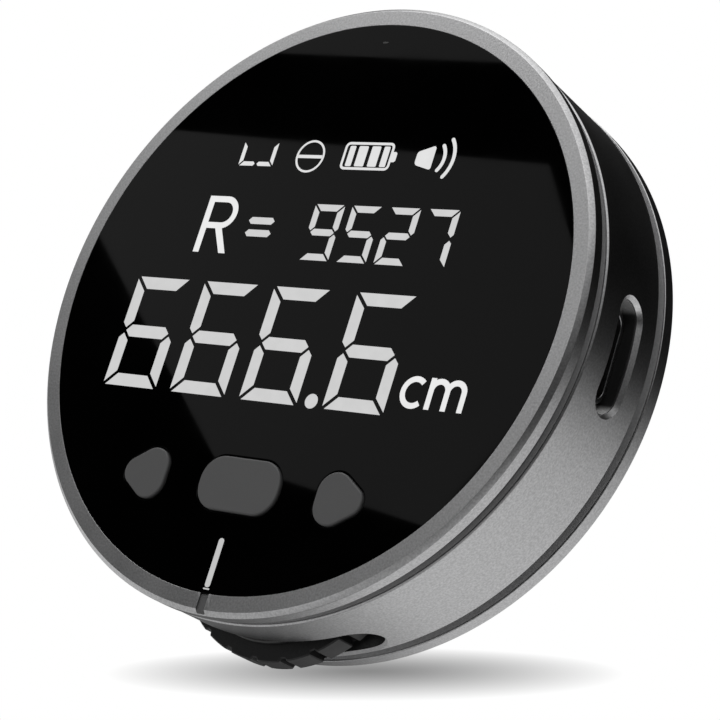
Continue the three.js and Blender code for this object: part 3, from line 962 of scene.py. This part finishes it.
def letter_m(x, z, height, width, pen):
    arch = (width - pen) / 4
    shapes = [[(x, z), (x + pen, z), (x + pen, z + height), (x, z + height)]]
    for start in (x + pen / 2, x + pen / 2 + 2 * arch):
        spring = z + height - pen / 2 - arch
        path = [*arc((start + arch, spring), arch, math.radians(165), 0, 14), (start + 2 * arch, z)]
        shapes += stroke(path, pen)
    return shapes


def letters():
    """The quantity's letter and the unit."""
    shapes = letter_r(-15.2, 4.15, 6.05, 0.64)
    shapes += letter_c(14.65, -9.5, 3.1, 0.54)
    shapes += letter_m(17.7, -9.42, 3.0, 4.1, 0.55)
    film("display_letters", shapes, "letter_light")


def mode_icons():
    """A half-lit figure that shows straight measuring, and a struck circle that shows its opposite."""
    thick = 0.45
    left, right, low, high = -13.05, -8.68, 13.6, 16.1
    shapes = []
    for edge, inwards in ((left, 1), (right, -1)):
        shapes.append([
            (edge, low + 0.12), (edge + inwards * thick, low + thick + 0.12),
            (edge + inwards * thick, high - thick), (edge, high),
        ])
        end = edge + inwards * 2.05
        bar = [(edge + inwards * 0.15, low), (edge + inwards * (thick + 0.15), low + thick)]
        bar += [(end - inwards * 0.2, low + thick), (end, low + thick / 2), (end - inwards * 0.2, low)]
        shapes.append(bar)
    shapes += stroke(whole_circle((-4.27, 14.78), 1.62, 48), 0.22, closed=True)
    shapes += stroke([(-5.75, 14.75), (-2.8, 14.75)], 0.34)
    return shapes


def battery_icon():
    line = 0.26
    outline = band_round(box_circles(2.95 - line / 2, 1.45 - line / 2, 0.42, 2.65, 14.95), steps=6)
    shapes = stroke(outline, line, closed=True)
    shapes.append([(5.5, 14.4), (5.95, 14.4), (6.1, 14.55), (6.1, 15.3), (5.95, 15.45), (5.5, 15.45)])
    for left, right in ((0.3, 1.0), (1.4, 2.5), (2.95, 4.0), (4.4, 5.1)):
        half = (right - left) / 2
        shapes.append(band_round(box_circles(half, 1.07, 0.12, left + half, 14.93), steps=3))
    return shapes


def speaker_icon():
    cone = [(10.2, 15.92, 0.22), (8.85, 15.22, 0.42), (8.85, 14.52, 0.42), (10.2, 13.98, 0.22)]
    shapes = [band_round(cone, steps=6)]
    reach = math.radians(38)
    pen = 0.38
    for radius in (2.05, 3.1):
        path = arc((9.6, 14.96), radius, -reach, reach, 16)
        shapes += stroke(path, pen)
        shapes += [whole_circle(end, pen / 2, 12) for end in (path[0], path[-1])]
    return shapes


def status_icons():
    film("status_icons", mode_icons() + battery_icon() + speaker_icon(), "icon_light")


def index_line():
    """The white line over the wheel that marks the measuring point, with a short dash under it. It is print, drawn
    glowing: painted light.
    """
    line = band_round(box_circles(0.31, 2.35, 0.29, 0.0, -26.1), steps=6)
    dash = band_round(box_circles(0.36, 0.07, 0.05, 0.0, -28.6), steps=3)
    film("index_line", [line, dash], "index_print_glow")


def sensor_mark():
    """A small dark spot at the top of the glass."""
    spot = whole_circle((0.5, 27.1), (0.36, 0.1), 24)
    film("sensor_mark", [spot], "inner_plastic", "inner_plastic")


def index_inlay():
    """A dark strip set into the bezel's notch, in line with the white index line."""
    half = INDEX_NOTCH["width"] / 2 - 0.01
    outline = rounded([
        (-GLASS_RADIUS - 0.2, 0.36, 0),
        (-GLASS_RADIUS - 0.2, 0.14, 0.03),
        (-RIM_RADIUS + BEZEL_CHAMFER - 0.14, 0.14, 0.1),
        (-RIM_RADIUS + 0.1, 0.38, 0.03),
    ])
    strip = new_piece("index_inlay", loft([[(x, y, z) for z, y in outline] for x in (-half, half)]))
    finish_piece(strip, "case", "inner_plastic", finish="button_plastic")


# --- Wheel ----------------------------------------------------


def tread_outline(radius, root, groove, bevel=0.1, steps=4):
    """A turn of the tread as (radius, angle), with blocks out to radius and one groove straight down."""
    pitch = 2 * math.pi / TREAD_BLOCKS
    half = groove / 2
    floor = half * 0.6 / root
    wall = half / radius
    start = (half + bevel) / radius
    outline = []
    for i in range(TREAD_BLOCKS):
        middle = -math.pi / 2 + i * pitch
        outline += [(root, middle - floor), (root, middle + floor), (radius - bevel, middle + wall)]
        outline += [(radius, middle + start + (pitch - 2 * start) * j / steps) for j in range(steps + 1)]
        outline.append((radius - bevel, middle + pitch - wall))
    return outline


def tyre():
    """The tyre: bevelled blocks and grooves that are shallow at the side faces and deep between them."""
    low, high = extent("tyre")
    end, middle = TREAD_DEPTHS["end"], TREAD_DEPTHS["middle"]
    # From a side face inwards: how far in, how far the blocks' tops drop, and how deep the grooves are.
    levels = [(0.0, 0.12, end), (0.12, 0.0, end), (0.35, 0.0, middle)]
    rows = [(low.y + inset, drop, depth) for inset, drop, depth in levels]
    rows += [(high.y - inset, drop, depth) for inset, drop, depth in reversed(levels)]
    rings = []
    for y, drop, depth in rows:
        outline = tread_outline(TYRE_RADIUS - drop, TYRE_RADIUS - drop - depth, TREAD_GROOVE + drop)
        rings.append([place_on_wheel(radius, angle, y) for radius, angle in outline])
    plain = tread_outline(TYRE_RADIUS, TYRE_RADIUS - end, TREAD_GROOVE)
    side = TYRE_RADIUS - middle
    for radius, y in ((side, high.y), (TYRE_BORE, high.y), (TYRE_BORE, low.y), (side, low.y)):
        rings.append([place_on_wheel(radius, angle, y) for _, angle in plain])
    ring = new_piece("rubber_tyre", loft(rings, round_trip=True))
    finish_piece(ring, "wheel", "tyre_rubber", "tyre", sharp=32)


def place_on_wheel(radius, angle, y):
    a, b = polar(radius, angle)
    return WHEEL_CENTRE.x + a, y, WHEEL_CENTRE.z + b


def wheel_hub():
    """The moulded hub: a flange that keeps the tyre on, a rim under the tyre, a web and a boss."""
    low, high = extent("wheel_hub")
    flange = (high.x - low.x) / 2
    rim = flange - HUB["lip"]
    bore = extent("wheel_bush")[1].x + HUB["bush_gap"]
    web = extent("tyre")[0].y + HUB["web"]
    hub = new_piece("spoked_hub", turned(rounded([
        (bore, low.y, 0.1),
        (flange, low.y, 0.22),
        (flange, low.y + HUB["flange"], 0.05),
        (rim, low.y + HUB["flange"], 0),
        (rim, high.y, 0.1),
        (rim - HUB["rim_wall"], high.y, 0.1),
        (rim - HUB["rim_wall"], web, 0.3),
        (bore + HUB["boss_wall"], web, 0.3),
        (bore + HUB["boss_wall"], high.y, 0.1),
        (bore, high.y, 0.1),
    ]), WHEEL_STEPS, WHEEL_CENTRE.x, WHEEL_CENTRE.z))
    finish_piece(hub, "wheel", "inner_plastic", "wheel_hub")


# --- Camera, light and floor ----------------------------------

# The photograph is taken from the right and from below the case's own horizon, with the camera turned,
# so its level is not the case's level: STUDIO_UP is the direction that is upright in the picture.
# The values down to LENS come from a separate program, which fitted a camera to the photograph's edges.
CAMERA_AZIMUTH = math.radians(39.29)
CAMERA_ELEVATION = math.radians(-14.78)
CAMERA_ROLL = math.radians(17.31)
CAMERA_DISTANCE = 210.1
CAMERA_AIM = (5.69, -5.70)
LENS = 112.07


def pointing(azimuth, elevation):
    """A unit vector: azimuth is from straight in front, round to the right."""
    level = math.cos(elevation)
    return Vector((math.sin(azimuth) * level, -math.cos(azimuth) * level, math.sin(elevation)))


TOWARDS_CAMERA = pointing(CAMERA_AZIMUTH, CAMERA_ELEVATION)
LEVEL_RIGHT = Vector((math.cos(CAMERA_AZIMUTH), math.sin(CAMERA_AZIMUTH), 0))
STUDIO_RIGHT = Matrix.Rotation(CAMERA_ROLL, 3, TOWARDS_CAMERA) @ LEVEL_RIGHT
STUDIO_UP = TOWARDS_CAMERA.cross(STUDIO_RIGHT)
CAMERA_SPOT = STUDIO_RIGHT * CAMERA_AIM[0] + STUDIO_UP * CAMERA_AIM[1] + TOWARDS_CAMERA * CAMERA_DISTANCE


def photo_camera():
    data = bpy.data.cameras.new("camera")
    data.sensor_width = 36
    data.lens = LENS
    data.clip_start = 0.01
    camera = bpy.data.objects.new("camera", data)
    axes = Matrix((STUDIO_RIGHT, STUDIO_UP, TOWARDS_CAMERA)).transposed()
    camera.matrix_world = Matrix.LocRotScale((CASE_ORIGIN + CAMERA_SPOT) * MM, axes, None)
    bpy.context.scene.collection.objects.link(camera)
    bpy.context.scene.camera = camera


# The studio's lights. Each one's level fades in along its directions, from the first limit to the second.
# Most of these numbers come from a separate program too, which searched for the tones of the photograph.
STUDIO_LEFT = -STUDIO_RIGHT
STUDIO_DOWN = -STUDIO_UP
AWAY = -TOWARDS_CAMERA
STUDIO_LIGHTS = {
    "overhead": (2.54, [(STUDIO_UP + 0.14 * STUDIO_LEFT + 0.04 * TOWARDS_CAMERA, 0.46, 1.3)]),
    "front right": (
        0.57, [(TOWARDS_CAMERA, 0.11, 0.5), (STUDIO_RIGHT, 0.05, 0.24), (STUDIO_UP, 0.05, 1.08)],
    ),
    "back left": (0.43, [(AWAY, 0.0, 0.6), (STUDIO_LEFT, -0.02, 0.5), (STUDIO_UP, -0.86, -0.22)]),
    "back": (0.97, [(AWAY, -0.29, 0.3), (STUDIO_LEFT, -0.3, 0.1), (STUDIO_UP, 0.53, 0.7)]),
    "below": (0.22, [(STUDIO_DOWN, 0.29, 0.86)]),
    "below front": (0.40, [(STUDIO_DOWN, -0.35, 0.92), (TOWARDS_CAMERA, 0.28, 0.55)]),
    "below right": (0.71, [(STUDIO_DOWN, 0.1, 0.5), (STUDIO_RIGHT, -0.16, 0.26)]),
    "below left": (0.57, [(STUDIO_DOWN, -0.47, -0.05), (STUDIO_LEFT, 0.47, 0.68)]),
}

# The glass mirrors only this dark part of the studio, and the two cards in it.
DARK_MIDDLE = pointing(math.radians(-40.8), math.radians(15.6))
DARK_EDGES = (math.cos(math.radians(9.5)), math.cos(math.radians(11.5)))


def cleared_tree(owner):
    """The empty node tree of a material or a world."""
    owner.use_nodes = True
    owner.node_tree.nodes.clear()
    return owner.node_tree


def studio_world():
    """A soft studio as light from each direction. The camera itself sees plain white."""
    world = bpy.data.worlds.new("studio")
    bpy.context.scene.world = world
    tree = cleared_tree(world)
    direction = add_node(tree, "TexCoord").outputs["Generated"]

    def fade(axis, start, end):
        along = add_node(tree, "VectorMath", {0: direction, 1: axis}, operation="DOT_PRODUCT")
        return ranged(tree, along.outputs["Value"], start, end)

    total = 0.0
    for level, fades in STUDIO_LIGHTS.values():
        light = level
        for axis, start, end in fades:
            light = combine(tree, "MULTIPLY", light, fade(axis, start, end))
        total = combine(tree, "ADD", total, light)
    total = combine(tree, "MULTIPLY", total, fade(-DARK_MIDDLE, -DARK_EDGES[0], -DARK_EDGES[1]))
    seen = add_node(tree, "LightPath").outputs["Is Camera Ray"]
    level = add_node(tree, "Mix", {0: seen, 2: total, 3: 1.0}, data_type="FLOAT").outputs[0]
    background = add_node(tree, "Background", {"Color": (1, 1, 1, 1), "Strength": level})
    add_node(tree, "OutputWorld", {"Surface": background.outputs[0]})


CARD_LIGHT = 0.8
CARD_DISTANCE = 250.0
GLOW_CARDS = {
    "front_card": [(-24, 17.4), (23.3, 14.6), (33, -0.6), (22, -19.9), (-4, -16.3), (-34, 10)],
    "strip_card": [(-40, 27.3), (14.4, 24.9), (34, 24.2), (30, 34), (-40, 36)],
}


def glow_card(name, corners):
    """A faint light panel in front of the glass. corners are where its corners show in the glass."""
    behind = Vector((CAMERA_SPOT.x, -CAMERA_SPOT.y, CAMERA_SPOT.z))
    reach = 1 + CARD_DISTANCE / behind.y
    points = [tuple(behind + (Vector((x, 0, z)) - behind) * reach) for x, z in corners]
    card = new_piece(name, (points, [tuple(range(len(points)))]))
    material = bpy.data.materials.new(name)
    tree = cleared_tree(material)
    glow = add_node(tree, "Emission", {"Strength": CARD_LIGHT})
    add_node(tree, "OutputMaterial", {"Surface": glow.outputs[0]})
    card.data.materials.append(material)
    card.visible_camera = False
    card.visible_shadow = False


def one_sided(tree, value):
    """The value on the upper side of a floor, and 1 on its underside."""
    underside = add_node(tree, "NewGeometry").outputs["Backfacing"]
    return combine(tree, "MAXIMUM", underside, value)


def from_middle(tree, place):
    """The distance from a floor's middle, in metres."""
    return add_node(tree, "VectorMath", {0: place}, operation="LENGTH").outputs["Value"]


def pale_floor():
    """A matt floor that is seen only from above, and thins out towards its edge."""
    material, tree, principled, place = shader("pale_floor", Roughness=0.9, Specular_IOR_Level=0.2)
    shade = 0.85
    speckle = mottle(tree, noise(tree, place, 0.7), (shade * 0.99,) * 3, (shade,) * 3)
    feed(principled, Base_Color=speckle)
    thin = ranged(tree, from_middle(tree, place), *FLOOR["fade"])
    clear = add_node(tree, "BsdfTransparent").outputs[0]
    mix = add_node(tree, "MixShader", {0: one_sided(tree, thin), 1: principled.outputs[0], 2: clear})
    feed(tree.nodes["Material Output"], Surface=mix.outputs[0])
    return material


def ground(name, spot, normal, radius, material):
    """A round piece of floor through a spot, in metres, that neither lights nor shades anything."""
    mesh = bpy.data.meshes.new(name)
    editor = bmesh.new()
    bmesh.ops.create_circle(editor, cap_ends=True, radius=radius, segments=96)
    editor.to_mesh(mesh)
    editor.free()
    mesh.materials.append(material)
    disc = bpy.data.objects.new(name, mesh)
    disc.matrix_world = Matrix.LocRotScale(spot, Vector((0, 0, 1)).rotation_difference(normal), None)
    bpy.context.scene.collection.objects.link(disc)
    disc.visible_diffuse = False
    disc.visible_glossy = False
    disc.visible_shadow = False


# A painted soft shadow under the object, on a floor that is almost edge-on to the camera.
SHADOW = {"shift": 10.1, "radius": 23.7, "tilt": math.radians(-2.0), "darkest": 0.254, "easing": 1.5}

# The level floor, in metres. It lies a hair below the object and fades between two distances.
FLOOR = {"gap": 0.00002, "radius": 0.8, "fade": (0.25, 0.7)}


def soft_shadow():
    """A painted shadow: clear in itself, and seen only from above, it darkens what is behind it, most in the
    middle.
    """
    material = bpy.data.materials.new("soft_shadow")
    tree = cleared_tree(material)
    place = add_node(tree, "TexCoord").outputs["Object"]
    outwards = ranged(tree, from_middle(tree, place), 0, SHADOW["radius"] * MM, easing="LINEAR")
    eased = combine(tree, "POWER", outwards, SHADOW["easing"])
    light = ranged(tree, eased, 0, 1, low=SHADOW["darkest"], easing="LINEAR")
    clear = add_node(tree, "BsdfTransparent", {"Color": one_sided(tree, light)})
    add_node(tree, "OutputMaterial", {"Surface": clear.outputs[0]})
    return material


def floors():
    """A level floor under the upright wheel, and a slanted piece of the studio's floor with a painted soft shadow
    on it.
    """
    level = Vector((0, 0, cad_low.z - FLOOR["gap"]))
    ground("floor", level, Vector((0, 0, 1)), FLOOR["radius"], pale_floor())
    normal = STUDIO_UP * math.cos(SHADOW["tilt"]) + TOWARDS_CAMERA * math.sin(SHADOW["tilt"])
    slant = math.hypot(normal.x, normal.z)
    rims = [(Vector((0, COVER_RIM[1], 0)), RIM_RADIUS), (WHEEL_CENTRE + Vector((0, 1, 0)), TYRE_RADIUS)]
    lowest = min((CASE_ORIGIN + centre).dot(normal) - radius * slant for centre, radius in rims)
    contact = CASE_ORIGIN + WHEEL_CENTRE - Vector((normal.x, 0, normal.z)) * TYRE_RADIUS / slant
    spot = contact + normal * (lowest - contact.dot(normal)) + STUDIO_RIGHT * SHADOW["shift"]
    ground("shadow_floor", spot * MM, normal, SHADOW["radius"] * MM, soft_shadow())


# --- Assembly -------------------------------------------------


def finish_cad_nodes():
    """Each CAD node that stays gets the finish of its material slot."""
    slots = {part["node"]: part["material_slot"] for part in frame["record"]["subparts"]}
    for name, node in frame["nodes"].items():
        node.material_slots[0].material = FINISHES[slots[name]]


def build():
    finish_cad_nodes()
    for make in (bezel, body, back_cover):
        make()
    for number, (x, z) in enumerate(screw_places(), start=1):
        cover_screw(number, x, z)
    for make in (port_shell, port_liner, port_tongue, port_contacts, front_glass):
        make()
    for side, circles in BUTTONS.items():
        button(side, circles)
    for make in (large_figures, small_figures, letters, status_icons, index_line, sensor_mark):
        make()
    for make in (index_inlay, tyre, wheel_hub):
        make()


photo_camera()
studio_world()
for name, corners in GLOW_CARDS.items():
    glow_card(name, corners)
build()
floors()
bpy.context.scene.view_settings.view_transform = "Standard"
